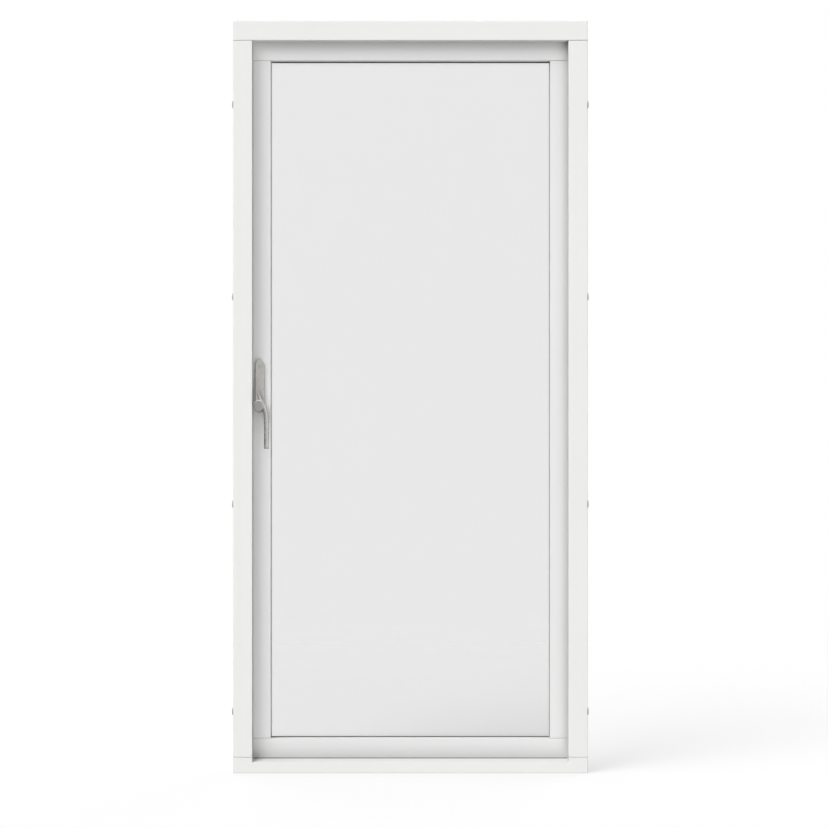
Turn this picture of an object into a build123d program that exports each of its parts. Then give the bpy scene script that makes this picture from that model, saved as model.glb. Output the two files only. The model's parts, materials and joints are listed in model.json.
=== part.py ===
from build123d import *
import math
import os

os.makedirs("parts", exist_ok=True)

# Glazed patio door: one side-hung leaf that opens outwards in a rebated timber frame.
# Seen from the room, X runs right, +Y outdoors and Z up.
# The origin is the centre of the sill's underside, halfway through the frame's depth.

# Frame sizes
frame_width = 980.0
frame_height = 2080.0
frame_depth = 105.0
jamb_face = 53.0
head_face = 54.0
sill_face = 44.0
rebate_step = 15.0  # how far the stop stands in past the rebate
frame_arris = 2.0

# Sill sizes
sill_stop_drop = 8.0  # how far the stop is cut down between the jambs
sill_bevel_drop = 6.0  # bevel on the room side of that stop
sill_bevel_land = 4.0  # level strip left between the bevel and the leaf
cover_start = 10.0  # depth at which the metal cover begins
cover_fall = 6.0  # how far it drops on its way out
cover_thickness = 2.0
cover_nose = 12.0
cover_end_gap = 0.5

# Seal in the frame
seal_width = 5.0
seal_thickness = 4.5
seal_inset = 0.7  # back from the edge of the stop
seal_arris = 1.5
seal_barb_width = 2.0  # pushed into a saw kerf in the stop
seal_barb_depth = 5.0

# Leaf sizes
leaf_gap = 5.0  # all round, between leaf and rebate
leaf_recess = 4.0  # back from the frame's outdoor face
leaf_face_gap = 5.0  # between leaf and stop, where the seal lies
leaf_thickness = 68.0
stile_face = 58.5
top_rail_face = 59.5
bottom_rail_face = 65.0
leaf_arris = 1.5
lock_bevel_angle = 3.2  # lets the closing edge swing past the jamb

# Sealed glass unit: three panes and two spacer frames
lip_depth = 18.0  # room-side lip that the glass is bedded on
glazing_step = 18.0  # how far the lip stands past the glazing rebate
pane_thickness = 4.0
pane_space = 10.0
pane_edge_gap = 4.0
spacer_width = 6.5
spacer_inset = 2.5
gasket_thickness = 3.0
gasket_show = 1.0  # how far each gasket shows past the lip or the bead
setting_block_length = 100.0
setting_block_inset = 120.0
bead_height = 13.0
bead_slope = 4.0

# Drip rail on the leaf, outdoors
drip_above_leaf_end = 12.0
drip_height = 28.0
drip_reach = 24.0
drip_lip = 10.0
drip_groove = 4.0
drip_end_inset = 22.0

# Hinges
hinge_height = 110.0
hinge_inset = 300.0  # centre of the end hinges from the ends of the leaf
hinge_barrel_radius = 6.5
hinge_barrel_gap = 2.0  # between barrel and frame
hinge_joint_gap = 1.0  # between the two halves
hinge_plate_thickness = 2.5
hinge_plate_width = 30.0
hinge_pin_radius = 4.0
hinge_pin_clearance = 0.05
hinge_cap = 5.0
hinge_arris = 1.2

# Sleeves that the frame is screwed to the wall through
sleeve_from_sill = 164.0
sleeve_pitch = 578.0
sleeve_from_head = 224.0
sleeve_depth = -6.0  # outwards from the middle of the frame
sleeve_radius = 8.0
sleeve_head_radius = 11.0
sleeve_head_proud = 6.0
sleeve_head_arris = 1.5
sleeve_bore_radius = 4.2

# Lock
faceplate_width = 16.0
faceplate_thickness = 2.5
faceplate_end_inset = 200.0
bolt_inset = 380.0  # end bolts from the ends of the leaf
bolt_above_handle = 110.0
bolt_length = 28.0
bolt_width = 8.0
bolt_depth = 13.0
bolt_clearance = 0.4
strike_width = 24.0
strike_length = 110.0
strike_thickness = 2.5
strike_corner = 4.0
strike_slot_length = 36.0
strike_slot_width = 12.0
strike_pocket_depth = 16.0

# Handle
handle_height = 1020.0
handle_backset = 28.5  # spindle from the closing edge of the leaf
backplate_length = 145.5
backplate_width = 26.0
backplate_thickness = 9.0
backplate_below_spindle = 23.7
backplate_arris = 1.6
backplate_screw_inset = 16.5
screw_hole_radius = 2.2
screw_sink_radius = 4.2
collar_radius = 12.4
collar_height = 1.5
spindle_width = 8.0
spindle_depth = 38.0  # into the leaf
spindle_socket = 22.0  # into the lever
spindle_hole_radius = 7.5
hub_radius = 11.6
hub_running_gap = 0.3
hub_front = 52.0  # out from the face of the leaf
hub_arris = 1.2
lever_standoff = 44.0  # middle of the grip, out from the face of the leaf
grip_width = 14.4
grip_thickness = 9.0
grip_offset = 20.8  # grip to the glass side of the spindle
grip_drop = 32.0  # straight part begins this far below the spindle
lever_drop = 123.0  # end of the grip below the spindle
grip_end_arris = 1.0
horn_rise = 40.0  # tip of the horn above the spindle
horn_lead = 7.0  # and this far to the jamb's side of it
horn_tip_width = 2.5
horn_tip_thickness = 3.0
lever_sides = 16  # flats round the oval section of horn and grip

# Places that follow from the sizes
room_face = -frame_depth / 2
outer_face = frame_depth / 2
stop_back = outer_face - leaf_recess - leaf_thickness - leaf_face_gap
opening_half = frame_width / 2 - jamb_face
rebate_half = opening_half + rebate_step
head_under = frame_height - head_face
opening_bottom = sill_face - sill_stop_drop
rebate_top = head_under + rebate_step
rebate_floor = opening_bottom - rebate_step

leaf_back = outer_face - leaf_recess
leaf_front = leaf_back - leaf_thickness
leaf_half = rebate_half - leaf_gap
leaf_bottom = rebate_floor + leaf_gap
leaf_top = rebate_top - leaf_gap
leaf_height = leaf_top - leaf_bottom
lock_bevel = leaf_thickness * math.tan(math.radians(lock_bevel_angle))

sight_half = leaf_half - stile_face
sight_bottom = leaf_bottom + bottom_rail_face
sight_top = leaf_top - top_rail_face
sight_height = sight_top - sight_bottom
sight_middle = (sight_top + sight_bottom) / 2
lip_back = leaf_front + lip_depth
pane_cover = glazing_step - pane_edge_gap
unit_thickness = 3 * pane_thickness + 2 * pane_space
unit_front = lip_back + gasket_thickness
unit_back = unit_front + unit_thickness
bead_front = unit_back + gasket_thickness

hinge_x = (leaf_half + rebate_half) / 2
hinge_y = outer_face + hinge_barrel_gap + hinge_barrel_radius
hinge_heights = {
    "top": leaf_top - hinge_inset,
    "middle": (leaf_top + leaf_bottom) / 2,
    "bottom": leaf_bottom + hinge_inset,
}
half_hinge = (hinge_height - hinge_joint_gap) / 2

sleeve_heights = [
    sleeve_from_sill,
    sleeve_from_sill + sleeve_pitch,
    sleeve_from_sill + 2 * sleeve_pitch,
    frame_height - sleeve_from_head,
]
bolt_heights = [leaf_bottom + bolt_inset, handle_height + bolt_above_handle, leaf_top - bolt_inset]
leaf_middle = (leaf_front + leaf_back) / 2
handle_x = -leaf_half + handle_backset

# The closing edge's own plane: its first direction is up, and it faces the jamb.
closing_edge = Plane(
    origin=(-leaf_half + lock_bevel / 2, leaf_middle, 0),
    x_dir=(0, 0, 1),
    z_dir=(-leaf_thickness, -lock_bevel, 0),
)
faceplate_length = leaf_height - 2 * faceplate_end_inset
faceplate_middle = (leaf_top + leaf_bottom) / 2

LOCK, HINGE = -1, 1  # sides of the door, as signs of X


def across(depth):
    """Plane across the door at this depth, seen from the room; an extrusion comes into the room."""
    return Plane.XZ.offset(-depth)


def finish(piece, name):
    piece.part.label = name
    export_step(piece.part, f"parts/{name}.step")


def ring(name, inner_half, inner_bottom, inner_top, width, front, thickness):
    """Rectangular ring across the door, this wide around an inner opening."""
    height, middle = inner_top - inner_bottom, (inner_top + inner_bottom) / 2
    with BuildPart() as piece:
        with BuildSketch(across(front + thickness)):
            with Locations((0, middle)):
                Rectangle(2 * (inner_half + width), height + 2 * width)
                Rectangle(2 * inner_half, height, mode=Mode.SUBTRACT)
        extrude(amount=thickness)
    finish(piece, name)


# Frame

# The seal's barb, and so the saw kerf that takes it, all round the back of the stop
seal_inner_half = opening_half + seal_inset
seal_inner_height = head_under - opening_bottom + 2 * seal_inset
with BuildPart() as seal_barb:
    with BuildSketch(across(stop_back)):
        with Locations((0, (head_under + opening_bottom) / 2)):
            margin = seal_width + seal_barb_width
            Rectangle(2 * seal_inner_half + margin, seal_inner_height + margin)
            margin = seal_width - seal_barb_width
            Rectangle(2 * seal_inner_half + margin, seal_inner_height + margin, mode=Mode.SUBTRACT)
    extrude(amount=seal_barb_depth)


def frame_head():
    with BuildPart() as head:
        with BuildSketch(across(outer_face)):
            with Locations((0, head_under)):
                Rectangle(frame_width, head_face, align=(Align.CENTER, Align.MIN))
        extrude(amount=frame_depth)
        with BuildSketch(across(outer_face)):
            with Locations((0, head_under)):
                Rectangle(2 * rebate_half, rebate_step, align=(Align.CENTER, Align.MIN))
        extrude(amount=outer_face - stop_back, mode=Mode.SUBTRACT)
        fillet(head.faces().sort_by(Axis.Y)[0].edges(), frame_arris)
        fillet(head.faces().sort_by(Axis.Y)[-1].edges(), frame_arris)
        add(seal_barb.part, mode=Mode.SUBTRACT)
    finish(head, "frame_head")


def frame_jamb(side, name):
    """Jamb between sill and head, with the sleeves' holes and seats for its hardware."""
    with BuildPart() as jamb:
        with BuildSketch(Plane.XY.offset(sill_face)):
            with Locations((side * (opening_half + jamb_face / 2), 0)):
                Rectangle(jamb_face, frame_depth)
            with Locations((side * (opening_half + rebate_step / 2), (stop_back + outer_face) / 2)):
                Rectangle(rebate_step, outer_face - stop_back, mode=Mode.SUBTRACT)
        extrude(amount=head_under - sill_face)
        fillet(jamb.faces().sort_by(Axis.Y)[0].edges(), frame_arris)
        fillet(jamb.faces().sort_by(Axis.Y)[-1].edges(), frame_arris)
        add(seal_barb.part, mode=Mode.SUBTRACT)
        rebate_plane = Plane(origin=(side * rebate_half, 0, 0), x_dir=(0, 1, 0), z_dir=(side, 0, 0))
        with BuildSketch(rebate_plane):
            with Locations([(sleeve_depth, side * z) for z in sleeve_heights]):
                Circle(sleeve_radius)
        extrude(amount=jamb_face, mode=Mode.SUBTRACT)
        if side == HINGE:
            with BuildSketch(rebate_plane):
                for z in hinge_heights.values():
                    with Locations((leaf_back - hinge_plate_width, z - hinge_joint_gap / 2)):
                        Rectangle(
                            outer_face - leaf_back + hinge_plate_width,
                            half_hinge,
                            align=(Align.MIN, Align.MAX),
                        )
            extrude(amount=hinge_plate_thickness, mode=Mode.SUBTRACT)
        else:
            with BuildSketch(rebate_plane):
                with Locations([(leaf_middle, side * z) for z in bolt_heights]):
                    RectangleRounded(strike_width, strike_length, strike_corner)
            extrude(amount=strike_thickness, mode=Mode.SUBTRACT)
            with BuildSketch(rebate_plane):
                with Locations([(leaf_middle, side * z) for z in bolt_heights]):
                    Rectangle(strike_slot_width, strike_slot_length)
            extrude(amount=strike_pocket_depth, mode=Mode.SUBTRACT)
    finish(jamb, name)


def frame_sill():
    """Threshold: bevelled to the room between the jambs, and falling outwards under its cover."""
    with BuildPart() as sill:
        with BuildSketch(Plane.XY):
            Rectangle(frame_width, frame_depth)
        extrude(amount=sill_face)
        with BuildSketch(Plane.YZ):
            with BuildLine():
                Polyline(
                    (stop_back, rebate_floor),
                    (cover_start, rebate_floor),
                    (cover_start, rebate_floor - cover_thickness),
                    (outer_face, rebate_floor - cover_thickness - cover_fall),
                    (outer_face, sill_face),
                    (stop_back, sill_face),
                    close=True,
                )
            make_face()
        extrude(amount=rebate_half, both=True, mode=Mode.SUBTRACT)
        with BuildSketch(Plane.YZ):
            with BuildLine():
                Polyline(
                    (room_face, sill_face),
                    (room_face, opening_bottom - sill_bevel_drop),
                    (stop_back - sill_bevel_land, opening_bottom),
                    (stop_back, opening_bottom),
                    (stop_back, sill_face),
                    close=True,
                )
            make_face()
        extrude(amount=opening_half, both=True, mode=Mode.SUBTRACT)
        fillet(sill.faces().sort_by(Axis.Y)[0].edges(), frame_arris)
        add(seal_barb.part, mode=Mode.SUBTRACT)
    finish(sill, "frame_sill")


def sill_cover_rail():
    """Folded metal cover on the weathered part of the sill, with a nose over its edge."""
    start_top, end_top = rebate_floor, rebate_floor - cover_fall
    with BuildPart() as cover:
        with BuildSketch(Plane.YZ):
            with BuildLine():
                Polyline(
                    (cover_start, start_top - cover_thickness),
                    (cover_start, start_top),
                    (outer_face + cover_thickness, end_top),
                    (outer_face + cover_thickness, end_top - cover_nose),
                    (outer_face, end_top - cover_nose),
                    (outer_face, end_top - cover_thickness),
                    close=True,
                )
            make_face()
        extrude(amount=rebate_half - cover_end_gap, both=True)
    finish(cover, "sill_cover_rail")


def frame_seal():
    """Seal on the back of the stop, which the leaf closes on, held by its barb."""
    with BuildPart() as seal:
        with BuildSketch(across(stop_back + seal_thickness)):
            with Locations((0, (head_under + opening_bottom) / 2)):
                Rectangle(2 * (seal_inner_half + seal_width), seal_inner_height + 2 * seal_width)
                Rectangle(2 * seal_inner_half, seal_inner_height, mode=Mode.SUBTRACT)
        extrude(amount=seal_thickness)
        fillet(seal.faces().sort_by(Axis.Y)[-1].edges(), seal_arris)
        add(seal_barb.part)
    finish(seal, "frame_seal")


def fixing_sleeves(side, name):
    """Sleeves through one jamb, each with a head that stands proud towards the wall."""
    with BuildPart() as sleeves:
        rebate_plane = Plane(origin=(side * rebate_half, 0, 0), x_dir=(0, 1, 0), z_dir=(side, 0, 0))
        spots = [(sleeve_depth, side * z) for z in sleeve_heights]
        with BuildSketch(rebate_plane):
            with Locations(spots):
                Circle(sleeve_radius)
                Circle(sleeve_bore_radius, mode=Mode.SUBTRACT)
        extrude(amount=jamb_face - rebate_step)
        with BuildSketch(rebate_plane.offset(jamb_face - rebate_step)):
            with Locations(spots):
                Circle(sleeve_head_radius)
                Circle(sleeve_bore_radius, mode=Mode.SUBTRACT)
        extrude(amount=sleeve_head_proud)
        rims = sleeves.edges().filter_by(lambda edge: edge.is_closed and edge.radius == sleeve_head_radius)
        chamfer(rims.sort_by(lambda edge: side * edge.center().X)[-len(spots):], sleeve_head_arris)
    finish(sleeves, name)


def strike_plates():
    """Slotted plates let into the lock jamb, one for each bolt."""
    with BuildPart() as strikes:
        with BuildSketch(Plane(origin=(-rebate_half, 0, 0), x_dir=(0, 1, 0), z_dir=(-1, 0, 0))):
            with Locations([(leaf_middle, -z) for z in bolt_heights]):
                RectangleRounded(strike_width, strike_length, strike_corner)
                Rectangle(strike_slot_width, strike_slot_length, mode=Mode.SUBTRACT)
        extrude(amount=strike_thickness)
    finish(strikes, "strike_plates")


# Leaf

# Waste taken off the closing edge towards the room, so that its corner swings past the jamb
with BuildPart() as closing_edge_waste:
    with BuildSketch(Plane.XY.offset(leaf_bottom)):
        with BuildLine():
            Polyline(
                (-leaf_half, leaf_back),
                (-leaf_half + lock_bevel, leaf_front),
                (-leaf_half, leaf_front),
                close=True,
            )
        make_face()
    extrude(amount=leaf_height)

# Rebate for the glass unit and its beads, open to the outdoor side
with BuildPart() as glazing_recess:
    with BuildSketch(across(leaf_back)):
        with Locations((0, sight_middle)):
            Rectangle(2 * (sight_half + glazing_step), sight_height + 2 * glazing_step)
    extrude(amount=leaf_back - lip_back)


def leaf_rail(bottom, face, name):
    """Rail over the full width of the leaf; the stiles butt against it."""
    with BuildPart() as rail:
        with BuildSketch(across(leaf_back)):
            with Locations((0, bottom)):
                Rectangle(2 * leaf_half, face, align=(Align.CENTER, Align.MIN))
        extrude(amount=leaf_thickness)
        add(closing_edge_waste.part, mode=Mode.SUBTRACT)
        fillet(rail.faces().sort_by(Axis.Y)[0].edges(), leaf_arris)
        fillet(rail.faces().sort_by(Axis.Y)[-1].edges(), leaf_arris)
        add(glazing_recess.part, mode=Mode.SUBTRACT)
    finish(rail, name)


def leaf_stile(side, name):
    """Stile between the rails, with seats for the hinges or for the lock and handle."""
    with BuildPart() as stile:
        with BuildSketch(Plane.XY.offset(sight_bottom)):
            with Locations((side * (leaf_half - stile_face / 2), leaf_middle)):
                Rectangle(stile_face, leaf_thickness)
        extrude(amount=sight_height)
        if side == LOCK:
            add(closing_edge_waste.part, mode=Mode.SUBTRACT)
        fillet(stile.faces().sort_by(Axis.Y)[0].edges(), leaf_arris)
        fillet(stile.faces().sort_by(Axis.Y)[-1].edges(), leaf_arris)
        add(glazing_recess.part, mode=Mode.SUBTRACT)
        if side == HINGE:
            with BuildSketch(Plane(origin=(leaf_half, 0, 0), x_dir=(0, 1, 0), z_dir=(1, 0, 0))):
                for z in hinge_heights.values():
                    with Locations((leaf_back, z + hinge_joint_gap / 2)):
                        Rectangle(hinge_plate_width, half_hinge, align=(Align.MAX, Align.MIN))
            extrude(amount=-hinge_plate_thickness, mode=Mode.SUBTRACT)
        else:
            with BuildSketch(closing_edge):
                with Locations((faceplate_middle, 0)):
                    SlotOverall(faceplate_length, faceplate_width)
            extrude(amount=-faceplate_thickness, mode=Mode.SUBTRACT)
            with BuildSketch(closing_edge):
                with Locations([(z, 0) for z in bolt_heights]):
                    Rectangle(bolt_length + 2 * bolt_clearance, bolt_width + 2 * bolt_clearance)
            extrude(amount=-bolt_depth, mode=Mode.SUBTRACT)
            with BuildSketch(across(leaf_front)):
                with Locations((handle_x, handle_height)):
                    Circle(spindle_hole_radius)
            extrude(amount=-spindle_depth, mode=Mode.SUBTRACT)
    finish(stile, name)


def lock_faceplate():
    """Steel strip let into the closing edge, with a slot for each bolt."""
    with BuildPart() as faceplate:
        with BuildSketch(closing_edge):
            with Locations((faceplate_middle, 0)):
                SlotOverall(faceplate_length, faceplate_width)
            with Locations([(z, 0) for z in bolt_heights]):
                Rectangle(
                    bolt_length + 2 * bolt_clearance,
                    bolt_width + 2 * bolt_clearance,
                    mode=Mode.SUBTRACT,
                )
        extrude(amount=-faceplate_thickness)
    finish(faceplate, "lock_faceplate")


def lock_bolts():
    """Bolts drawn back into the leaf, flush with the strip."""
    with BuildPart() as bolts:
        with BuildSketch(closing_edge):
            with Locations([(z, 0) for z in bolt_heights]):
                Rectangle(bolt_length, bolt_width)
        extrude(amount=-bolt_depth)
    finish(bolts, "lock_bolts")


def glass_panes():
    names = ["glass_inner_pane", "glass_middle_pane", "glass_outer_pane"]
    for number, name in enumerate(names):
        front = unit_front + number * (pane_thickness + pane_space)
        with BuildPart() as pane:
            with BuildSketch(across(front + pane_thickness)):
                with Locations((0, sight_middle)):
                    Rectangle(2 * (sight_half + pane_cover), sight_height + 2 * pane_cover)
            extrude(amount=pane_thickness)
        finish(pane, name)


def glass_spacers():
    spacer_show = pane_cover - spacer_inset - spacer_width
    for number, name in enumerate(["glass_inner_spacer", "glass_outer_spacer"]):
        front = unit_front + pane_thickness + number * (pane_thickness + pane_space)
        ring(name, sight_half + spacer_show, sight_bottom - spacer_show, sight_top + spacer_show,
             spacer_width, front, pane_space)


def glass_setting_blocks():
    """Blocks in the bottom rebate that the unit stands on."""
    with BuildPart() as blocks:
        with BuildSketch(Plane.XY.offset(sight_bottom - glazing_step)):
            for side in (LOCK, HINGE):
                with Locations((side * (sight_half - setting_block_inset), (unit_front + unit_back) / 2)):
                    Rectangle(setting_block_length, unit_thickness)
        extrude(amount=pane_edge_gap)
    finish(blocks, "glass_setting_blocks")


def glazing_gaskets():
    """Strips that the glass is pressed on: against the lip indoors, under the lower beads outdoors."""
    bead_setback = glazing_step - bead_height
    for name, setback, front in (
        ("glazing_gasket_inner", 0.0, lip_back),
        ("glazing_gasket_outer", bead_setback, unit_back),
    ):
        past_lip = gasket_show - setback
        ring(name, sight_half - past_lip, sight_bottom + past_lip, sight_top - past_lip,
             pane_cover + past_lip, front, gasket_thickness)


def glazing_bead(plane, length, name):
    """Bead with its outdoor edge sloped; on its plane, x is depth and y runs in from the rebate."""
    with BuildPart() as bead:
        with BuildSketch(plane):
            with BuildLine():
                Polyline(
                    (bead_front, 0),
                    (leaf_back, 0),
                    (leaf_back - bead_slope, bead_height),
                    (bead_front, bead_height),
                    close=True,
                )
            make_face()
        extrude(amount=length / 2, both=True)
    finish(bead, name)


def glazing_beads():
    full_width = 2 * (sight_half + glazing_step)
    side_length = sight_height + 2 * (glazing_step - bead_height)
    bottom_seat, top_seat = sight_bottom - glazing_step, sight_top + glazing_step
    side_seat = sight_half + glazing_step
    glazing_bead(Plane(origin=(0, 0, bottom_seat), x_dir=(0, 1, 0), z_dir=(1, 0, 0)),
                 full_width, "glazing_bead_bottom")
    glazing_bead(Plane(origin=(0, 0, top_seat), x_dir=(0, 1, 0), z_dir=(-1, 0, 0)),
                 full_width, "glazing_bead_top")
    glazing_bead(Plane(origin=(-side_seat, 0, sight_middle), x_dir=(0, 1, 0), z_dir=(0, 0, -1)),
                 side_length, "glazing_bead_lock")
    glazing_bead(Plane(origin=(side_seat, 0, sight_middle), x_dir=(0, 1, 0), z_dir=(0, 0, 1)),
                 side_length, "glazing_bead_hinge")


def drip_rail():
    """Drip rail on the outdoor face of the bottom rail, with a groove under its lip."""
    low = leaf_bottom + drip_above_leaf_end
    with BuildPart() as drip:
        with BuildSketch(Plane.YZ):
            with BuildLine():
                Polyline(
                    (leaf_back, low),
                    (leaf_back, low + drip_height),
                    (leaf_back + drip_reach, low + drip_lip),
                    (leaf_back + drip_reach, low),
                    (leaf_back + drip_reach - drip_groove, low),
                    (leaf_back + drip_reach - drip_groove, low + drip_groove),
                    (leaf_back + drip_reach - 2 * drip_groove, low + drip_groove),
                    (leaf_back + drip_reach - 2 * drip_groove, low),
                    close=True,
                )
            make_face()
        extrude(amount=leaf_half - drip_end_inset, both=True)
    finish(drip, "drip_rail")


# Hinges

def hinge_half(side, z, name):
    """Plate and barrel of one half: the lower one on the frame, the upper one on the leaf."""
    lower = side == HINGE
    base = z - hinge_joint_gap / 2 - half_hinge if lower else z + hinge_joint_gap / 2
    plate_x = rebate_half + hinge_plate_thickness / 2 if lower else leaf_half - hinge_plate_thickness / 2
    plate_start = leaf_back - hinge_plate_width
    with BuildPart() as half:
        with BuildSketch(Plane.XY.offset(base)):
            with Locations((hinge_x, hinge_y)):
                Circle(hinge_barrel_radius)
        extrude(amount=half_hinge)
        chamfer(half.edges().filter_by(GeomType.CIRCLE), hinge_arris)
        with BuildSketch(Plane.XY.offset(base)):
            with Locations((plate_x, (plate_start + hinge_y) / 2)):
                Rectangle(hinge_plate_thickness, hinge_y - plate_start)
        extrude(amount=half_hinge)
        with BuildSketch(Plane.XY.offset(base)):
            with Locations((hinge_x, hinge_y)):
                Circle(hinge_pin_radius if lower else hinge_pin_radius + hinge_pin_clearance)
        extrude(amount=half_hinge if lower else half_hinge - hinge_cap, mode=Mode.SUBTRACT)
    finish(half, name)


def hinge_pin(z, name):
    """Pin that stands in the frame's barrel and carries the leaf's."""
    with BuildPart() as pin:
        with BuildSketch(Plane.XY.offset(z - hinge_joint_gap / 2 - half_hinge)):
            with Locations((hinge_x, hinge_y)):
                Circle(hinge_pin_radius)
        extrude(amount=hinge_height - hinge_cap - hinge_joint_gap / 2)
        chamfer(pin.edges().sort_by(Axis.Z)[-1], hinge_arris)
    finish(pin, name)


def hinges():
    for place, z in hinge_heights.items():
        hinge_half(HINGE, z, f"hinge_{place}_frame_plate")
        hinge_half(LOCK, z, f"hinge_{place}_leaf_plate")
        hinge_pin(z, f"hinge_{place}_pin")


# Handle

def handle_backplate():
    """Long plate with round ends, a countersunk hole and a low collar round the spindle."""
    centre = handle_height - backplate_below_spindle + backplate_length / 2
    screw_height = centre + backplate_length / 2 - backplate_screw_inset
    plate_face = leaf_front - backplate_thickness
    with BuildPart() as plate:
        with BuildSketch(across(leaf_front)):
            with Locations((handle_x, centre)):
                SlotOverall(backplate_length, backplate_width, rotation=90)
        extrude(amount=backplate_thickness)
        chamfer(plate.faces().sort_by(Axis.Y)[0].edges(), backplate_arris)
        with BuildSketch(across(plate_face)):
            with Locations((handle_x, handle_height)):
                Circle(collar_radius)
        extrude(amount=collar_height)
        with BuildSketch(across(leaf_front)):
            with Locations((handle_x, handle_height)):
                Circle(spindle_hole_radius)
        extrude(amount=backplate_thickness + collar_height, mode=Mode.SUBTRACT)
        with Locations(across(plate_face) * Pos(handle_x, screw_height)):
            CounterSinkHole(screw_hole_radius, screw_sink_radius, depth=backplate_thickness)
    finish(plate, "handle_backplate")


def handle_spindle():
    back = leaf_front + spindle_depth - hub_running_gap
    front = leaf_front - backplate_thickness - collar_height - hub_running_gap - spindle_socket
    with BuildPart() as spindle:
        with BuildSketch(across(back)):
            with Locations((handle_x, handle_height)):
                Rectangle(spindle_width, spindle_width)
        extrude(amount=back - front)
    finish(spindle, "handle_spindle")


def oval(width, thickness):
    """Points round a many-sided oval; its width lies along the sketch's y."""
    turns = [2 * math.pi * number / lever_sides for number in range(lever_sides)]
    return [(thickness / 2 * math.cos(turn), width / 2 * math.sin(turn)) for turn in turns]


def handle_lever():
    """Cranked lever: a round hub, a horn that sweeps past it, and a flat oval grip."""
    hub_back = leaf_front - backplate_thickness - collar_height - hub_running_gap
    hub_face = leaf_front - hub_front
    grip_plane = leaf_front - lever_standoff
    grip_x = handle_x + grip_offset
    with BuildPart() as lever:
        with BuildLine() as horn:
            Spline(
                (handle_x - horn_lead, grip_plane, handle_height + horn_rise),
                (handle_x + grip_offset / 6, grip_plane, handle_height + grip_width * 0.7),
                (grip_x, grip_plane, handle_height - grip_drop),
                tangents=((1, 0, -2), (0, 0, -1)),
            )
        for along, width, thickness in (
            (0.0, horn_tip_width, horn_tip_thickness),
            (0.25, grip_width * 0.5, grip_thickness * 0.8),
            (0.5, grip_width * 0.8, grip_thickness),
            (0.75, grip_width * 0.95, grip_thickness),
            (1.0, grip_width, grip_thickness),
        ):
            with BuildSketch(
                Plane(origin=horn.line @ along, x_dir=(0, -1, 0), z_dir=horn.line % along)
            ):
                with BuildLine():
                    Polyline(*oval(width, thickness), close=True)
                make_face()
        loft(ruled=True)
        extrude(lever.faces().sort_by(Axis.Z)[0], amount=lever_drop - grip_drop)
        chamfer(lever.faces().sort_by(Axis.Z)[0].edges(), grip_end_arris)
        with BuildSketch(across(hub_back)):
            with Locations((handle_x, handle_height)):
                Circle(hub_radius)
        extrude(amount=hub_back - hub_face)
        chamfer(lever.faces().sort_by(Axis.Y)[0].edges(), hub_arris)
        with BuildSketch(across(hub_back)):
            with Locations((handle_x, handle_height)):
                Rectangle(spindle_width, spindle_width)
        extrude(amount=spindle_socket, mode=Mode.SUBTRACT)
    finish(lever, "handle_lever")


frame_head()
frame_jamb(LOCK, "frame_jamb_lock")
frame_jamb(HINGE, "frame_jamb_hinge")
frame_sill()
sill_cover_rail()
frame_seal()
fixing_sleeves(LOCK, "fixing_sleeves_lock")
fixing_sleeves(HINGE, "fixing_sleeves_hinge")
strike_plates()
leaf_rail(sight_top, top_rail_face, "leaf_top_rail")
leaf_rail(leaf_bottom, bottom_rail_face, "leaf_bottom_rail")
leaf_stile(LOCK, "leaf_stile_lock")
leaf_stile(HINGE, "leaf_stile_hinge")
lock_faceplate()
lock_bolts()
glass_panes()
glass_spacers()
glass_setting_blocks()
glazing_gaskets()
glazing_beads()
drip_rail()
hinges()
handle_backplate()
handle_spindle()
handle_lever()
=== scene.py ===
import json
import math

import bpy
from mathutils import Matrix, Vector

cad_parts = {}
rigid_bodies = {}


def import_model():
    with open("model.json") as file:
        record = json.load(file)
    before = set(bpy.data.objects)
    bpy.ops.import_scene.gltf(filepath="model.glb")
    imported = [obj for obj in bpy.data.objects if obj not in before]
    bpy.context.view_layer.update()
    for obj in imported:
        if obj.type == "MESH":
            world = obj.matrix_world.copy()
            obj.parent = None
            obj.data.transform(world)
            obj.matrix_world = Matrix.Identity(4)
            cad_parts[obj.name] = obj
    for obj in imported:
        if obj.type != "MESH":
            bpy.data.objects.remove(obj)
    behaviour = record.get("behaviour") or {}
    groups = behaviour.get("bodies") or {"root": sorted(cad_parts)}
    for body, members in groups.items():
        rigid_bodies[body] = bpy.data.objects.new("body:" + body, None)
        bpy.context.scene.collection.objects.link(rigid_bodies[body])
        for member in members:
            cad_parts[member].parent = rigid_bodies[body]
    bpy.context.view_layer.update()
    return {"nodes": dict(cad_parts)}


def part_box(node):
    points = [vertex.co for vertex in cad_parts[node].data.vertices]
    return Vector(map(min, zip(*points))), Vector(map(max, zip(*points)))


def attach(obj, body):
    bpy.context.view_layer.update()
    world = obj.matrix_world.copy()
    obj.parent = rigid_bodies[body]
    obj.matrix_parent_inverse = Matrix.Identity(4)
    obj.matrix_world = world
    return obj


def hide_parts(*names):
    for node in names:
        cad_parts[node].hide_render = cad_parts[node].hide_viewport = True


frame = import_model()
nodes = frame["nodes"]


# Frame timber: head, sill and two jambs of planed pine, with rebates run in by the moulder.
# The jambs are butted between head and sill and screwed through them, then the whole frame
# is sprayed white. The coat is thin enough for the long grain to show as faint ripples.

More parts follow.
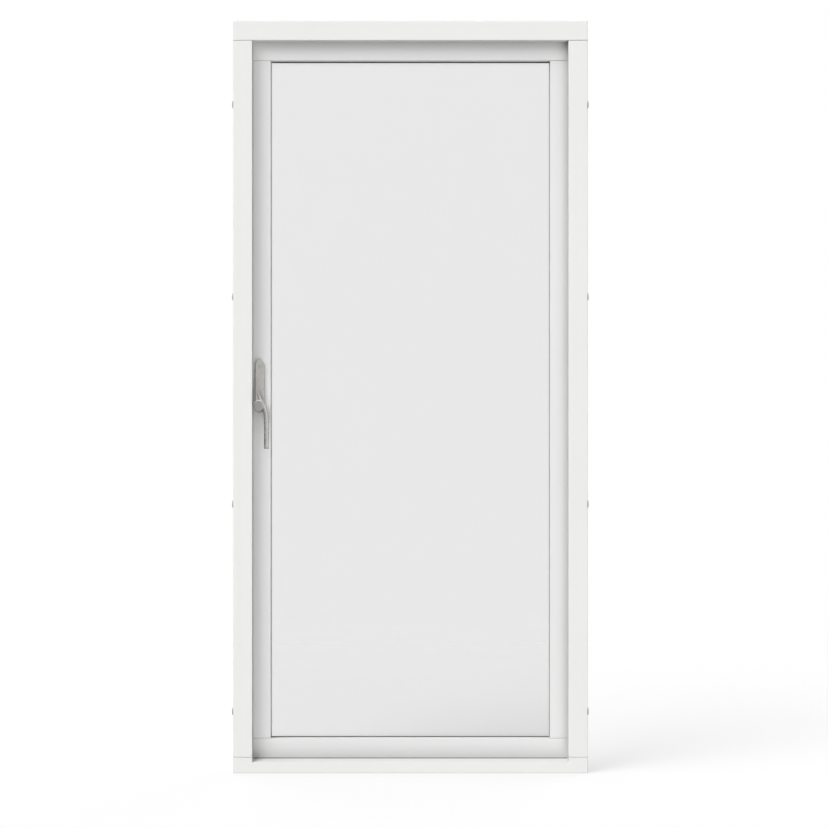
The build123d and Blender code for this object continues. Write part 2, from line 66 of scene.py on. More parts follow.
class Line:
    """A value on its way to the shader. Sums written with it become Math nodes."""

    def __init__(self, finish, socket):
        self.finish = finish
        self.socket = socket

    def combine(self, operation, first, second):
        return self.finish.node("ShaderNodeMath", {"operation": operation}, {0: first, 1: second})

    def __add__(self, other):
        return self.combine("ADD", self, other)

    def __radd__(self, other):
        return self.combine("ADD", other, self)

    def __sub__(self, other):
        return self.combine("SUBTRACT", self, other)

    def __rsub__(self, other):
        return self.combine("SUBTRACT", other, self)

    def __mul__(self, other):
        return self.combine("MULTIPLY", self, other)

    def __rmul__(self, other):
        return self.combine("MULTIPLY", other, self)

    def __pow__(self, other):
        return self.combine("POWER", self, other)


class Finish:
    """A finish mixed node by node on the piece's own coordinates, in metres."""

    def __init__(self, name):
        self.material = bpy.data.materials.new(name)
        self.material.use_nodes = True
        self.tree = self.material.node_tree
        self.tree.nodes.clear()
        self.place = self.node("ShaderNodeTexCoord", output="Object")

    def node(self, kind, settings=None, sockets=None, output=0):
        made = self.tree.nodes.new(kind)
        for name, value in (settings or {}).items():
            setattr(made, name, value)
        for name, value in (sockets or {}).items():
            if isinstance(value, Line):
                self.tree.links.new(value.socket, made.inputs[name])
            else:
                made.inputs[name].default_value = value
        return Line(self, made.outputs[output])

    def noise(self, per_metre, detail=2.0, roughness=0.5):
        """Noise with this many cells a metre along X, Y and Z."""
        stretched = self.node("ShaderNodeVectorMath", {"operation": "MULTIPLY"},
                              {0: self.place, 1: per_metre})
        return self.node("ShaderNodeTexNoise", {}, {
            "Vector": stretched, "Scale": 1.0, "Detail": detail, "Roughness": roughness})

    def between(self, value, start, end):
        """0 below start, 1 above end, and smooth between them."""
        return self.node("ShaderNodeMapRange", {"interpolation_type": "SMOOTHSTEP"}, {
            "Value": value, "From Min": start, "From Max": end})

    def blend(self, mask, first, second):
        """First colour where the mask is 0, second where it is 1."""
        return self.node("ShaderNodeMix", {"data_type": "RGBA"}, {0: mask, 6: first, 7: second}, 2)

    def relief(self, height, depth):
        return self.node("ShaderNodeBump", {}, {"Height": height, "Distance": depth, "Strength": 1.0})

    def shade(self, sockets):
        self.close(self.node("ShaderNodeBsdfPrincipled", {}, sockets))

    def close(self, shader):
        surface = self.tree.nodes.new("ShaderNodeOutputMaterial").inputs["Surface"]
        self.tree.links.new(shader.socket, surface)


def give(finish, *names):
    """Puts a finish on CAD nodes in place of their plain one."""
    for name in names:
        slots = nodes[name].data.materials
        slots.clear()
        slots.append(finish.material)


def sprayed_timber(name, grain, white, shadow_white, butts=()):
    """White paint over planed pine whose grain runs along X or Z, with a hairline at each butt."""
    fine = (7.0, 900.0, 900.0) if grain == "X" else (900.0, 900.0, 7.0)
    wide = (1.6, 90.0, 90.0) if grain == "X" else (90.0, 90.0, 1.6)
    paint = Finish(name)
    fibres = paint.noise(fine, 3.0, 0.55)
    rings = paint.noise(wide, 2.0, 0.5)
    mist = paint.noise((1500.0, 1500.0, 1500.0), 1.0)
    clouds = paint.noise((4.0, 4.0, 4.0), 2.0)
    tone = paint.between(rings * 0.35 + clouds * 0.65, 0.3, 0.7)
    level = paint.node("ShaderNodeSeparateXYZ", {}, {0: paint.place}, 2)
    whole = paint.between(level, -2.0, -1.0)
    for butt in butts:
        beside = paint.node("ShaderNodeMath", {"operation": "ABSOLUTE"}, {0: level - butt})
        whole = whole * paint.between(beside, 0.0004, 0.0013)
    paint.shade({
        "Base Color": paint.blend(whole, (0.3, 0.29, 0.28, 1.0), paint.blend(tone, shadow_white, white)),
        "Roughness": 0.34 + 0.1 * fibres + 0.06 * clouds + 0.2 * (1 - whole),
        "Specular IOR Level": 0.45,
        "Normal": paint.relief(fibres * 0.5 + rings * 1.2 + mist * 0.18 + whole, 0.00006),
    })
    return paint


frame_white = (0.83, 0.832, 0.815, 1.0)
frame_shadow_white = (0.812, 0.813, 0.796, 1.0)
give(sprayed_timber("frame_paint_across", "X", frame_white, frame_shadow_white), "frame_head", "frame_sill")
jamb_low, jamb_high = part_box("frame_jamb_lock")
give(sprayed_timber("frame_paint_upright", "Z", frame_white, frame_shadow_white, (jamb_low.z, jamb_high.z)),
     "frame_jamb_lock", "frame_jamb_hinge")


# Sill cover: a folded aluminium strip on the weathered part of the sill, matt anodised, with
# the drawing lines of the sheet running along it and a little dust in them.

def drawn_metal(name, colour, along, roughness, depth):
    """Rolled or brushed metal with fine lines along X or Z."""
    lines = (6.0, 2600.0, 2600.0) if along == "X" else (2600.0, 2600.0, 6.0)
    metal = Finish(name)
    scratches = metal.noise(lines, 3.0, 0.6)
    bloom = metal.noise((30.0, 30.0, 30.0), 3.0)
    dulled = tuple(0.86 * part for part in colour[:3]) + (1.0,)
    metal.shade({
        "Base Color": metal.blend(metal.between(scratches * 0.6 + bloom * 0.4, 0.35, 0.68), dulled, colour),
        "Metallic": 1.0,
        "Roughness": roughness - 0.06 + 0.16 * scratches + 0.08 * bloom,
        "Normal": metal.relief(scratches, depth),
    })
    return metal


give(drawn_metal("anodised_sheet", (0.62, 0.63, 0.64, 1.0), "X", 0.42, 0.00004), "sill_cover_rail")


# Weather seal: a pale extruded strip on the back of the stop, held by its barb in a kerf.
# On the sill a grey rubber bead is bonded on it, which shows as a fine line under the leaf;
# its dark grey is painted shade, standing in for the shadow in the gap under the leaf.

def rubber(name, colour, dusty, roughness):
    """Soft extruded strip, a little dusty, with faint die lines."""
    strip = Finish(name)
    dust = strip.noise((60.0, 60.0, 60.0), 4.0, 0.6)
    skin = strip.noise((1400.0, 1400.0, 1400.0), 2.0)
    strip.shade({
        "Base Color": strip.blend(strip.between(dust, 0.45, 0.75), colour, dusty),
        "Roughness": roughness + 0.12 * dust,
        "Specular IOR Level": 0.3,
        "Normal": strip.relief(skin, 0.00003),
    })
    return strip


give(rubber("seal_foam", (0.74, 0.74, 0.71, 1.0), (0.66, 0.65, 0.61, 1.0), 0.6), "frame_seal")
seal_low, seal_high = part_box("frame_seal")
seal_width, opening_width = 0.005, 0.874
bead_radius, bead_sunk, bead_proud, bead_end_gap = 0.0023, 0.0001, 0.0002, 0.0004
bead_foot = Vector((0, seal_high.y + bead_proud - bead_radius, seal_low.z + seal_width))
smooth_below = math.radians(35)
bpy.ops.object.select_all(action="DESELECT")
bpy.ops.mesh.primitive_cylinder_add(
    vertices=32, radius=bead_radius, depth=opening_width - 2 * bead_end_gap,
    rotation=(0, math.pi / 2, 0), location=bead_foot)
sill_bead = bpy.context.object
bpy.ops.object.mode_set(mode="EDIT")
bpy.ops.mesh.bisect(plane_co=bead_foot - Vector((0, 0, bead_sunk)), plane_no=(0, 0, 1),
                    clear_inner=True, use_fill=True)
bpy.ops.mesh.select_all(action="SELECT")
bpy.ops.mesh.normals_make_consistent(inside=False)
bpy.ops.object.mode_set(mode="OBJECT")
bpy.ops.object.transform_apply(location=True, rotation=True, scale=True)
bpy.ops.object.shade_smooth_by_angle(angle=smooth_below)
sill_bead.name = "sill_seal_bead"
# The bead's dark grey is painted shade: a dark strip along the gap that the leaf's foot shades.
sill_bead.data.materials.append(
    rubber("seal_bead_painted_shade", (0.15, 0.15, 0.148, 1.0), (0.22, 0.218, 0.214, 1.0), 0.6).material)
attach(sill_bead, "frame")


# Fixing sleeves: threaded steel sleeves, zinc plated, turned through each jamb until their
# heads bear on the wall. The plating is a little cloudy, with brighter and duller grains.

def zinc_plate(name, colour=(0.6, 0.61, 0.62, 1.0), roughness=0.33):
    """Bright plating, or bare turned metal, a little cloudy."""
    zinc = Finish(name)
    grains = zinc.noise((420.0, 420.0, 420.0), 3.0, 0.6)
    cloud = zinc.noise((55.0, 55.0, 55.0), 3.0)
    dulled = tuple(0.74 * part for part in colour[:3]) + (1.0,)
    zinc.shade({
        "Base Color": zinc.blend(zinc.between(grains * 0.4 + cloud * 0.6, 0.35, 0.65), dulled, colour),
        "Metallic": 1.0,
        "Roughness": roughness + 0.2 * cloud - 0.06,
        "Normal": zinc.relief(grains, 0.00003),
    })
    return zinc


zinc = zinc_plate("zinc_plating")
give(zinc, "fixing_sleeves_lock", "fixing_sleeves_hinge")


# Strike plates: three pressed steel plates let into the lock jamb, each held by two
# raised screws with a cross recess. The screws are turned steel, plated like the plates.

def alone(piece):
    """Leaves this piece as the only one selected."""
    bpy.ops.object.select_all(action="DESELECT")
    piece.select_set(True)
    bpy.context.view_layer.objects.active = piece


def cut(piece, tool):
    """Cuts the tool's shape out of the piece and throws the tool away."""
    alone(piece)
    bpy.ops.object.modifier_add(type="BOOLEAN")
    piece.modifiers[-1].object = tool
    piece.modifiers[-1].solver = "EXACT"
    bpy.ops.object.modifier_apply(modifier=piece.modifiers[-1].name)
    alone(tool)
    bpy.ops.object.delete()


def shape(piece, test, kind="FACE"):
    """Opens the piece for shaping with only the faces or corners that pass the test selected."""
    alone(piece)
    bpy.ops.object.mode_set(mode="EDIT")
    bpy.ops.mesh.select_mode(type=kind)
    bpy.ops.mesh.select_all(action="DESELECT")
    bpy.ops.object.mode_set(mode="OBJECT")
    for part in piece.data.polygons if kind == "FACE" else piece.data.vertices:
        part.select = test(part)
    bpy.ops.object.mode_set(mode="EDIT")


def finished():
    bpy.ops.object.mode_set(mode="OBJECT")


def turned_screw(radius, height):
    """One raised screw head at the origin that faces up, with its cross recess."""
    bpy.ops.object.select_all(action="DESELECT")
    bpy.ops.mesh.primitive_cylinder_add(vertices=32, radius=radius, depth=2 * height)
    head = bpy.context.object
    shape(head, lambda face: face.normal.z > 0.9)
    bpy.ops.mesh.bevel(offset=0.75 * height, segments=4, affect="EDGES")
    finished()
    for turn in (0.0, math.pi / 2):
        bpy.ops.object.select_all(action="DESELECT")
        bpy.ops.mesh.primitive_cube_add(size=1.0, location=(0, 0, 0.75 * height), rotation=(0, 0, turn))
        slot = bpy.context.object
        slot.scale = (1.1 * radius, 0.26 * radius, 1.2 * height)
        cut(head, slot)
    return head


def screws(name, body, radius, height, spots, facing):
    """Copies of one screw on their spots, heads facing one way, as one piece."""
    pattern = turned_screw(radius, height)
    turn = Vector((0, 0, 1)).rotation_difference(Vector(facing)).to_euler()
    for spot in spots:
        alone(pattern)
        bpy.ops.object.duplicate()
        bpy.context.object.rotation_euler = turn
        bpy.context.object.location = spot
        bpy.context.object["screw"] = name
    alone(pattern)
    bpy.ops.object.delete()
    copies = [thing for thing in bpy.data.objects if thing.get("screw") == name]
    alone(copies[0])
    for copy in copies[1:]:
        copy.select_set(True)
    if len(copies) > 1:
        bpy.ops.object.join()
    bpy.ops.object.transform_apply(location=True, rotation=True, scale=True)
    piece = bpy.context.object
    piece.name = name
    bpy.ops.object.shade_smooth_by_angle(angle=smooth_below)
    piece.data.materials.clear()
    piece.data.materials.append(zinc.material)
    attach(piece, body)
    return piece


give(zinc, "strike_plates")
strike_low, strike_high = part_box("strike_plates")
strike_length, strike_screw_reach = 0.110, 0.040
latch_strike_middle = 1.130
head_radius, head_height = 0.0038, 0.0007
strike_middles = (strike_low.z + strike_length / 2, latch_strike_middle, strike_high.z - strike_length / 2)
screws("strike_screws", "frame", head_radius, head_height,
       [(strike_high.x, (strike_low.y + strike_high.y) / 2, middle + way * strike_screw_reach)
        for middle in strike_middles for way in (-1, 1)], (1, 0, 0))


# Hinges: three lift-off hinges of plated steel. The lower half is let into the jamb and
# carries the pin, the upper half is let into the leaf, and a thin ring of brass keeps
# the two barrels apart. Three raised screws hold each half.

brass = zinc_plate("turned_brass", (0.72, 0.56, 0.3, 1.0), 0.25)
hinge_spots = {"frame": [], "leaf": []}
end_screw_depth, middle_screw_depth = 0.009, 0.021  # from the edge that lies deepest in the wood
ring_radius, ring_bore, ring_thickness = 0.0060, 0.0042, 0.0009
halves_apart = 0.001
for place in ("top", "middle", "bottom"):
    give(zinc, f"hinge_{place}_frame_plate", f"hinge_{place}_leaf_plate", f"hinge_{place}_pin")
    for half in ("frame", "leaf"):
        low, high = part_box(f"hinge_{place}_{half}_plate")
        for share in (0.17, 0.5, 0.83):
            depth = low.y + (middle_screw_depth if share == 0.5 else end_screw_depth)
            height = low.z + share * (high.z - low.z)
            hinge_spots[half].append((depth, height))
    pin_low, pin_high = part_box(f"hinge_{place}_pin")
    half_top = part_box(f"hinge_{place}_frame_plate")[1].z
    joint = Vector(((pin_low.x + pin_high.x) / 2, (pin_low.y + pin_high.y) / 2,
                    half_top + halves_apart / 2))
    bpy.ops.object.select_all(action="DESELECT")
    bpy.ops.mesh.primitive_cylinder_add(
        vertices=48, radius=ring_radius, depth=ring_thickness, location=joint)
    ring = bpy.context.object
    bpy.ops.object.select_all(action="DESELECT")
    bpy.ops.mesh.primitive_cylinder_add(
        vertices=48, radius=ring_bore, depth=3 * ring_thickness, location=joint)
    cut(ring, bpy.context.object)
    alone(ring)
    bpy.ops.object.transform_apply(location=True, rotation=True, scale=True)
    bpy.ops.object.shade_smooth_by_angle(angle=smooth_below)
    ring.name = f"hinge_{place}_ring"
    ring.data.materials.append(brass.material)
    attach(ring, "frame")
leaf_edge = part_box("leaf_stile_hinge")[1].x
leaf_gap = 0.005
jamb_face = leaf_edge + leaf_gap
screws("hinge_frame_screws", "frame", head_radius, head_height,
       [(jamb_face, depth, height) for depth, height in hinge_spots["frame"]], (-1, 0, 0))
screws("hinge_leaf_screws", "leaf", head_radius, head_height,
       [(leaf_edge, depth, height) for depth, height in hinge_spots["leaf"]], (1, 0, 0))


# Leaf timber: two rails over the full width and two stiles between them, finger-jointed
# pine, glued and dowelled, then sprayed with the frame but a shade cooler in its coat.

leaf_white = (0.795, 0.796, 0.792, 1.0)
leaf_shadow_white = (0.778, 0.779, 0.775, 1.0)
stile_low, stile_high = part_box("leaf_stile_lock")
leaf_across = sprayed_timber("leaf_paint_across", "X", leaf_white, leaf_shadow_white)
leaf_upright = sprayed_timber("leaf_paint_upright", "Z", leaf_white, leaf_shadow_white,
                              (stile_low.z, stile_high.z))
give(leaf_across, "leaf_top_rail", "leaf_bottom_rail")
give(leaf_upright, "leaf_stile_lock", "leaf_stile_hinge")


# Sealed glass unit: three panes of clear float glass and two dark spacer frames, sealed
# round the edge, standing on two blocks in the bottom rebate.

def float_glass(name):
    """Clear glass that dims what is behind it a little and mirrors more at a slant."""
    pane = Finish(name)
    slant = pane.node("ShaderNodeLayerWeight", {}, {"Blend": 0.5}, "Facing")
    smears = pane.noise((2.2, 2.2, 0.9), 3.0, 0.55)
    through = pane.node("ShaderNodeBsdfTransparent", {}, {"Color": (0.982, 0.982, 0.982, 1.0)})
    mirror = pane.node("ShaderNodeBsdfPrincipled", {}, {
        "Base Color": pane.blend(smears, (0.92, 0.92, 0.92, 1.0), (0.97, 0.97, 0.97, 1.0)),
        "Metallic": 1.0,
        "Roughness": 0.03,
    })
    share = 0.04 + 0.96 * slant ** 5.0
    pane.close(pane.node("ShaderNodeMixShader", {}, {0: share, 1: through, 2: mirror}))
    return pane


def perforated_bar(name):
    """Dark spacer bar with a row of breathing holes every 4 mm, painted near-black as their shade."""
    bar = Finish(name)
    hole_pitch, bar_pitch, bar_middle = 0.004, 0.014, 0.0105
    x, y, z = [bar.node("ShaderNodeSeparateXYZ", {}, {0: bar.place}, axis) for axis in range(3)]
    along = bar.node("ShaderNodeMath", {"operation": "SINE"}, {0: (x + z) * (2 * math.pi / hole_pitch)})
    across = bar.node("ShaderNodeMath", {"operation": "COSINE"},
                      {0: (y - bar_middle) * (2 * math.pi / bar_pitch)})
    hole_with_painted_shade = bar.between(along, 0.55, 0.75) * bar.between(across, 0.9, 0.97)
    bloom = bar.noise((140.0, 140.0, 140.0), 3.0)
    bar.shade({
        # The holes are painted near-black: painted shade inside them, with a bump that sinks them.
        "Base Color": bar.blend(hole_with_painted_shade, bar.blend(bloom, (0.06, 0.06, 0.064, 1.0), (0.1, 0.1, 0.104, 1.0)),
                                (0.008, 0.008, 0.008, 1.0)),
        "Roughness": 0.36 + 0.2 * bloom + 0.3 * hole_with_painted_shade,
        "Normal": bar.relief(bloom * 0.2 - hole_with_painted_shade, 0.0003),
    })
    return bar


give(float_glass("float_glass"), "glass_inner_pane", "glass_middle_pane", "glass_outer_pane")
give(perforated_bar("spacer_bar"), "glass_inner_spacer", "glass_outer_spacer")
give(rubber("block_plastic", (0.03, 0.09, 0.28, 1.0), (0.05, 0.12, 0.3, 1.0), 0.45), "glass_setting_blocks")


# Glazing gaskets: dark extruded strips that the glass is pressed on, indoors and outdoors.

give(rubber("gasket_rubber", (0.19, 0.19, 0.19, 1.0), (0.26, 0.258, 0.255, 1.0), 0.55),
     "glazing_gasket_inner", "glazing_gasket_outer")


# Glazing beads: sloped pine beads outdoors that press the glass home. They are pinned with
# fine brads, which are set below the surface, filled and sprayed over with the leaf.

bead_low, bead_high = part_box("glazing_bead_lock")
give(leaf_across, "glazing_bead_top", "glazing_bead_bottom")
give(sprayed_timber("bead_paint_upright", "Z", leaf_white, leaf_shadow_white, (bead_low.z, bead_high.z)),
     "glazing_bead_lock", "glazing_bead_hinge")


# Drip rail: an extruded aluminium rail low on the leaf outdoors, matt anodised, with a
# groove under its lip that sheds the water. Four screws through its slope hold it.

give(drawn_metal("anodised_rail", (0.62, 0.63, 0.64, 1.0), "X", 0.42, 0.00004), "drip_rail")
drip_low, drip_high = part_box("drip_rail")
slope_middle, slope_facing = (drip_low.y + 0.012, drip_high.z - 0.009), (0, 0.6, 0.8)
outer_screw = 0.330  # from the middle of the leaf
screws("drip_rail_screws", "leaf", 0.0036, 0.0006,
       [(share * outer_screw, *slope_middle) for share in (-1, -1 / 3, 1 / 3, 1)],
       slope_facing)


# Lock: a long plated strip let into the closing edge, which leans a little so that the leaf
# swings past the jamb, with three bolts drawn back level with it and six raised screws.

give(drawn_metal("brushed_strip", (0.56, 0.56, 0.56, 1.0), "Z", 0.34, 0.00003), "lock_faceplate")
give(zinc, "lock_bolts")
strip_low, strip_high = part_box("lock_faceplate")
strip_width = 0.016
strip_screw_heights = (0.245, 0.560, 0.860, 1.290, 1.490, 1.815)
edge_lean = math.radians(3.2)
strip_middle = (strip_low.x + strip_width / 2 * math.sin(edge_lean),
                strip_high.y - strip_width / 2 * math.cos(edge_lean))
screws("lock_strip_screws", "leaf", 0.0032, 0.0005,
       [(*strip_middle, height) for height in strip_screw_heights],
       (-math.cos(edge_lean), -math.sin(edge_lean), 0))


# Handle plate: a long die-cast plate with round ends and a softly rolled edge, satin nickel,
# held by one countersunk screw at its top; a low collar round the spindle carries the lever.

def satin_nickel(name, hub_end=None, hub_drop=0.0):
    """Nickel plate with the upright lines of the belt, the bloom of handling and a faced hub end painted
    dark as shade.
    """
    metal = Finish(name)
    brushing = metal.noise((2200.0, 2200.0, 60.0), 3.0, 0.6)
    handling = metal.noise((45.0, 45.0, 45.0), 3.0)
    colour = metal.blend(metal.between(handling, 0.35, 0.7),
                         (0.6, 0.587, 0.567, 1.0), (0.68, 0.668, 0.648, 1.0))
    roughness = 0.2 + 0.08 * brushing + 0.07 * handling
    marks = brushing
    if hub_end:
        offset = metal.node("ShaderNodeVectorMath", {"operation": "SUBTRACT"}, {0: metal.place, 1: hub_end})
        sideways, behind, upward = [
            metal.node("ShaderNodeSeparateXYZ", {}, {0: offset}, axis) for axis in range(3)]
        above = metal.node("ShaderNodeMath", {"operation": "MAXIMUM"}, {0: upward, 1: 0.0})
        below = metal.node("ShaderNodeMath", {"operation": "MINIMUM"}, {0: upward + hub_drop, 1: 0.0})
        outward = metal.node("ShaderNodeCombineXYZ", {}, {0: sideways, 1: above + below})
        radius = metal.node("ShaderNodeVectorMath", {"operation": "LENGTH"}, {0: outward}, 1)
        within = 1 - metal.between(radius, 0.0092, 0.0099)
        in_front = 1 - metal.between(behind, 0.0006, 0.0012)
        faced_with_painted_shade, ring_pitch = within * in_front, 0.0004
        rings = metal.node("ShaderNodeMath", {"operation": "SINE"}, {0: radius * (2 * math.pi / ring_pitch)})
        # The faced end is painted darker: painted shade for the dark reflection on the hub's face; its rings
        # and dullness are real.
        colour = metal.blend(faced_with_painted_shade, colour, (0.49, 0.477, 0.46, 1.0))
        roughness = roughness + 0.1 * faced_with_painted_shade
        marks = brushing * (1 - faced_with_painted_shade) + rings * faced_with_painted_shade * 0.5
    metal.shade({
        "Base Color": colour,
        "Metallic": 1.0,
        "Roughness": roughness,
        "Normal": metal.relief(marks, 0.00002),
    })
    return metal


def joined(name, *pieces):
    alone(pieces[0])
    for piece in pieces:
        piece.select_set(True)
    bpy.ops.object.join()
    bpy.ops.object.transform_apply(location=True, rotation=True, scale=True)
    whole = bpy.context.object
    whole.name = name
    return whole


def coat(piece, finish, body, smooth=smooth_below):
    """Smooths the piece, gives it its finish and fixes it to a body."""
    alone(piece)
    bpy.ops.object.shade_smooth_by_angle(angle=smooth)
    piece.data.materials.clear()
    piece.data.materials.append(finish.material)
    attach(piece, body)


nickel = satin_nickel("satin_nickel")
spindle_low, spindle_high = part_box("handle_spindle")
spindle_x = (spindle_low.x + spindle_high.x) / 2
spindle_z = (spindle_low.z + spindle_high.z) / 2
plate_low, plate_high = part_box("handle_backplate")
plate_radius = (plate_high.x - plate_low.x) / 2
plate_thickness, plate_edge = 0.009, 0.0018
leaf_face_y = plate_high.y
plate_face_y = leaf_face_y - plate_thickness
screw_drop, screw_sunk = 0.0165, 0.0006
sink_foot, sink_mouth, sink_depth = 0.0022, 0.0044, 0.005
collar_radius, collar_depth, collar_edge = 0.0124, 0.004, 0.0009
hair = 0.0001

bpy.ops.object.select_all(action="DESELECT")
bpy.ops.mesh.primitive_cylinder_add(
    vertices=72, radius=plate_radius, depth=plate_thickness, rotation=(math.pi / 2, 0, 0),
    location=(spindle_x, leaf_face_y - plate_thickness / 2, plate_low.z + plate_radius))
plate = bpy.context.object
bpy.ops.object.transform_apply(location=True, rotation=True, scale=True)
shape(plate, lambda corner: corner.co.z > plate_low.z + plate_radius + hair, "VERT")
bpy.ops.transform.translate(value=(0, 0, plate_high.z - plate_low.z - 2 * plate_radius))
finished()
shape(plate, lambda face: face.normal.y < -0.9)
bpy.ops.mesh.bevel(offset=plate_edge, segments=5, affect="EDGES")
finished()
bpy.ops.mesh.primitive_cone_add(
    vertices=40, radius1=sink_foot, radius2=sink_mouth, depth=sink_depth, rotation=(math.pi / 2, 0, 0),
    location=(spindle_x, plate_face_y + sink_depth / 2 - hair, plate_high.z - screw_drop))
cut(plate, bpy.context.object)
bpy.ops.mesh.primitive_cylinder_add(
    vertices=72, radius=collar_radius, depth=collar_depth, rotation=(math.pi / 2, 0, 0),
    location=(spindle_x, plate_low.y + collar_depth / 2, spindle_z))
collar = bpy.context.object
bpy.ops.object.transform_apply(location=True, rotation=True, scale=True)
shape(collar, lambda face: face.normal.y < -0.9)
bpy.ops.mesh.bevel(offset=collar_edge, segments=4, affect="EDGES")
finished()
plate = joined("handle_plate", plate, collar)
coat(plate, nickel, "leaf")
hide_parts("handle_backplate")
plate_screw = screws("handle_plate_screw", "leaf", 0.0040, 0.0009,
                     [(spindle_x, plate_face_y + screw_sunk, plate_high.z - screw_drop)],
                     (0, -1, 0))
plate_screw.data.materials[0] = nickel.material
give(zinc, "handle_spindle")


# Handle lever: one casting of satin nickel. A long round-ended hub stands on the spindle, a
# horn for the thumb rises above it and sweeps past it into a flat oval grip, cut off square.

lever_low, lever_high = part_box("handle_lever")
hub_radius, hub_drop, hub_edge, hub_end_gaps = 0.0121, 0.0095, 0.0028, 0.0002
grip_y = lever_low.y + 0.008
# Stations of the bar from the grip's end to the horn's tip: sideways and up from the
# spindle, then width and thickness, all in millimetres
bar = [
    (21.2, -123.0, 11.8, 7.6), (21.2, -122.4, 13.1, 8.8), (21.2, -119.0, 13.4, 9.2),
    (21.2, -85.0, 13.2, 9.2), (21.1, -50.0, 12.9, 9.0), (20.6, -30.0, 12.6, 9.0),
    (17.9, -15.0, 12.6, 9.4), (12.6, -2.5, 12.6, 10.0), (6.2, 9.5, 11.6, 10.0),
    (1.6, 20.5, 8.6, 8.2), (-1.7, 29.5, 6.0, 6.2), (-4.9, 36.6, 3.9, 4.2), (-6.2, 39.4, 2.4, 2.8),
]
millimetre = 0.001


def bar_centre(station):
    return Vector((spindle_x + station[0] * millimetre, grip_y, spindle_z + station[1] * millimetre))


def bar_slope(number):
    """How far the bar leans from upright at this station, turned about Y."""
    before, after = bar[max(number - 1, 0)], bar[min(number + 1, len(bar) - 1)]
    return math.atan2(after[0] - before[0], after[1] - before[1])


bpy.ops.object.select_all(action="DESELECT")
bpy.ops.mesh.primitive_circle_add(vertices=16, radius=0.5, fill_type="NGON", location=bar_centre(bar[0]))
lever = bpy.context.object
bpy.ops.object.mode_set(mode="EDIT")
bpy.ops.mesh.select_all(action="SELECT")
width, thickness = bar[0][2] * millimetre, bar[0][3] * millimetre
bpy.ops.transform.resize(value=(width, thickness, 1), center_override=bar_centre(bar[0]))
for number in range(1, len(bar)):
    centre = bar_centre(bar[number])
    bpy.ops.mesh.extrude_region_move(
        TRANSFORM_OT_translate={"value": centre - bar_centre(bar[number - 1])})
    bpy.ops.transform.rotate(value=bar_slope(number - 1) if number > 1 else 0.0, orient_axis="Y",
                             center_override=centre)
    bpy.ops.transform.resize(
        value=(bar[number][2] / bar[number - 1][2], bar[number][3] / bar[number - 1][3], 1),
        center_override=centre)
    bpy.ops.transform.rotate(value=-bar_slope(number), orient_axis="Y", center_override=centre)
bpy.ops.mesh.select_all(action="SELECT")
bpy.ops.mesh.normals_make_consistent(inside=False)
finished()
bpy.ops.object.transform_apply(location=True, rotation=True, scale=True)
bpy.ops.object.modifier_add(type="SUBSURF")
lever.modifiers[-1].levels = lever.modifiers[-1].render_levels = 2
bpy.ops.object.modifier_apply(modifier=lever.modifiers[-1].name)

bpy.ops.object.select_all(action="DESELECT")
bpy.ops.mesh.primitive_cylinder_add(
    vertices=64, radius=hub_radius, depth=lever_high.y - lever_low.y - hub_end_gaps,
    rotation=(math.pi / 2, 0, 0), location=(spindle_x, (lever_high.y + lever_low.y) / 2, spindle_z))
hub = bpy.context.object
bpy.ops.object.transform_apply(location=True, rotation=True, scale=True)
shape(hub, lambda corner: corner.co.z < spindle_z - hair, "VERT")
bpy.ops.transform.translate(value=(0, 0, -hub_drop))
finished()
shape(hub, lambda face: face.normal.y < -0.9)
bpy.ops.mesh.bevel(offset=hub_edge, segments=6, affect="EDGES")
finished()
lever = joined("handle_lever_cast", lever, hub)
bpy.ops.object.modifier_add(type="REMESH")
lever.modifiers[-1].mode = "VOXEL"
lever.modifiers[-1].voxel_size = 0.0005
bpy.ops.object.modifier_apply(modifier=lever.modifiers[-1].name)
bpy.ops.object.modifier_add(type="SMOOTH")
lever.modifiers[-1].factor = 0.5
lever.modifiers[-1].iterations = 6
bpy.ops.object.modifier_apply(modifier=lever.modifiers[-1].name)
lever_nickel = satin_nickel("lever_nickel", (spindle_x, lever_low.y, spindle_z), hub_drop)
coat(lever, lever_nickel, "handle", math.radians(60))
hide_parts("handle_lever")


# Studio: a pale floor that fades into the white behind it, a light tent whose panels show
# only in glass and metal, four soft lamps before the door with the key lamp at the upper
# left, two behind it, and a camera a little below the middle of the door.

scene = bpy.context.scene
scene.view_settings.view_transform = "Standard"

bpy.ops.object.select_all(action="DESELECT")
floor_radius, fade_start, fade_end = 5.0, 1.2, 4.5
bpy.ops.mesh.primitive_circle_add(vertices=96, radius=floor_radius, fill_type="NGON", location=(0, 0, 0))
floor = bpy.context.object
floor.name = "studio_floor"
floor_finish = Finish("floor_white")
reach = floor_finish.node("ShaderNodeVectorMath", {"operation": "LENGTH"}, {0: floor_finish.place}, 1)
cloth = floor_finish.node("ShaderNodeBsdfDiffuse", {}, {"Color": (0.35, 0.35, 0.35, 1.0)})
glow = floor_finish.node("ShaderNodeEmission", {}, {"Color": (1, 1, 1, 1), "Strength": 0.64})
pale = floor_finish.node("ShaderNodeAddShader", {}, {0: cloth, 1: glow})
clear = floor_finish.node("ShaderNodeBsdfTransparent")
watched = floor_finish.node("ShaderNodeLightPath", output="Is Camera Ray")
floor_finish.close(floor_finish.node("ShaderNodeMixShader", {}, {
    0: watched * (1 - floor_finish.between(reach, fade_start, fade_end)), 1: clear, 2: pale}))
floor.data.materials.append(floor_finish.material)

world = bpy.data.worlds.new("studio")
world.use_nodes = True
scene.world = world
light_tent = world.node_tree
light_tent.nodes.clear()


def tent(kind, sockets=None, **settings):
    """A node of the light tent round the door; its sockets take values or other sockets."""
    made = light_tent.nodes.new(kind)
    for name, value in settings.items():
        setattr(made, name, value)
    for name, value in (sockets or {}).items():
        if isinstance(value, bpy.types.NodeSocket):
            light_tent.links.new(value, made.inputs[name])
        else:
            made.inputs[name].default_value = value
    return made.outputs


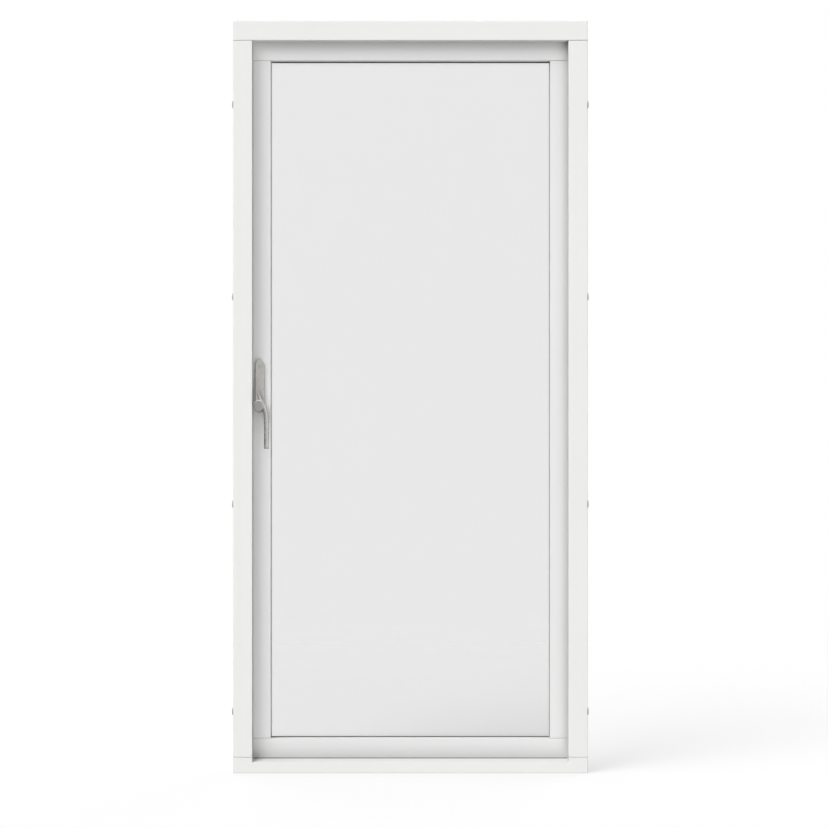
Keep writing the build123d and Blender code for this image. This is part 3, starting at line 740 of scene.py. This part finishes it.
toward = tent("ShaderNodeTexCoord")["Generated"]
tent_panels = (  # where each stands, how narrow it is and how bright
    ((-0.05, -1, 0), 7.0, 0.48), ((0.74, -0.67, 0), 10.0, 1.2), ((-0.8, -0.6, 0), 2.5, 0.2),
    ((0, 0, 1), 1.6, 1.6), ((0, -0.3, -0.95), 1.6, 0.25), ((0, 1, 0), 2.0, 0.6))
mirrored = 0.08
for panel, narrow, strength in tent_panels:
    facing = tent("ShaderNodeVectorMath", {0: toward, 1: panel}, operation="DOT_PRODUCT")["Value"]
    lit = tent("ShaderNodeMath", {0: facing, 1: 0.0}, operation="MAXIMUM")[0]
    lobe = tent("ShaderNodeMath", {0: lit, 1: narrow}, operation="POWER")[0]
    mirrored = tent("ShaderNodeMath", {0: lobe, 1: strength, 2: mirrored}, operation="MULTIPLY_ADD")[0]
path = tent("ShaderNodeLightPath")
lighting = tent("ShaderNodeBackground", {"Color": (1, 1, 1, 1), "Strength": 0.1})[0]
panels = tent("ShaderNodeBackground", {"Color": (1, 1, 1, 1), "Strength": mirrored})[0]
white_wall = tent("ShaderNodeBackground", {"Color": (1, 1, 1, 1), "Strength": 1.0})[0]
round_door = tent("ShaderNodeMixShader", {0: path["Is Glossy Ray"], 1: lighting, 2: panels})[0]
walls = tent("ShaderNodeMixShader", {0: path["Is Camera Ray"], 1: round_door, 2: white_wall})[0]
tent("ShaderNodeOutputWorld", {"Surface": walls})


def soft_lamp(name, comes_from, spread, strength):
    """A far lamp behind a diffuser this many degrees wide."""
    bpy.ops.object.select_all(action="DESELECT")
    bpy.ops.object.light_add(type="SUN", location=(0, 0, 3))
    made = bpy.context.object
    made.name = name
    made.rotation_euler = Vector(comes_from).to_track_quat("Z", "Y").to_euler()
    made.data.angle = math.radians(spread)
    made.data.energy = strength
    made.data.cycles.max_bounces = 0
    made.visible_glossy = False


soft_lamp("key_lamp", (-0.58, -0.58, 0.57), 40, 1.57)
soft_lamp("high_lamp", (-0.52, -0.24, 0.82), 40, 1.28)
soft_lamp("front_lamp", (0, -0.94, 0.34), 65, 0.86)
soft_lamp("low_lamp", (0.3, -0.64, -0.71), 40, 1.39)
soft_lamp("garden_lamp_left", (0.62, 0.75, 0.2), 60, 1.7)
soft_lamp("garden_lamp_right", (-0.5, 0.84, 0.2), 60, 1.5)

camera_distance = 5.0
picture_width, metres_per_pixel = 828, 0.002764
view_width = picture_width * metres_per_pixel
bpy.ops.object.camera_add(location=(0.010, jamb_low.y - camera_distance, 0.9931),
                          rotation=(math.pi / 2, 0, 0))
scene.camera = bpy.context.object
scene.camera.data.angle = 2 * math.atan(view_width / 2 / camera_distance)
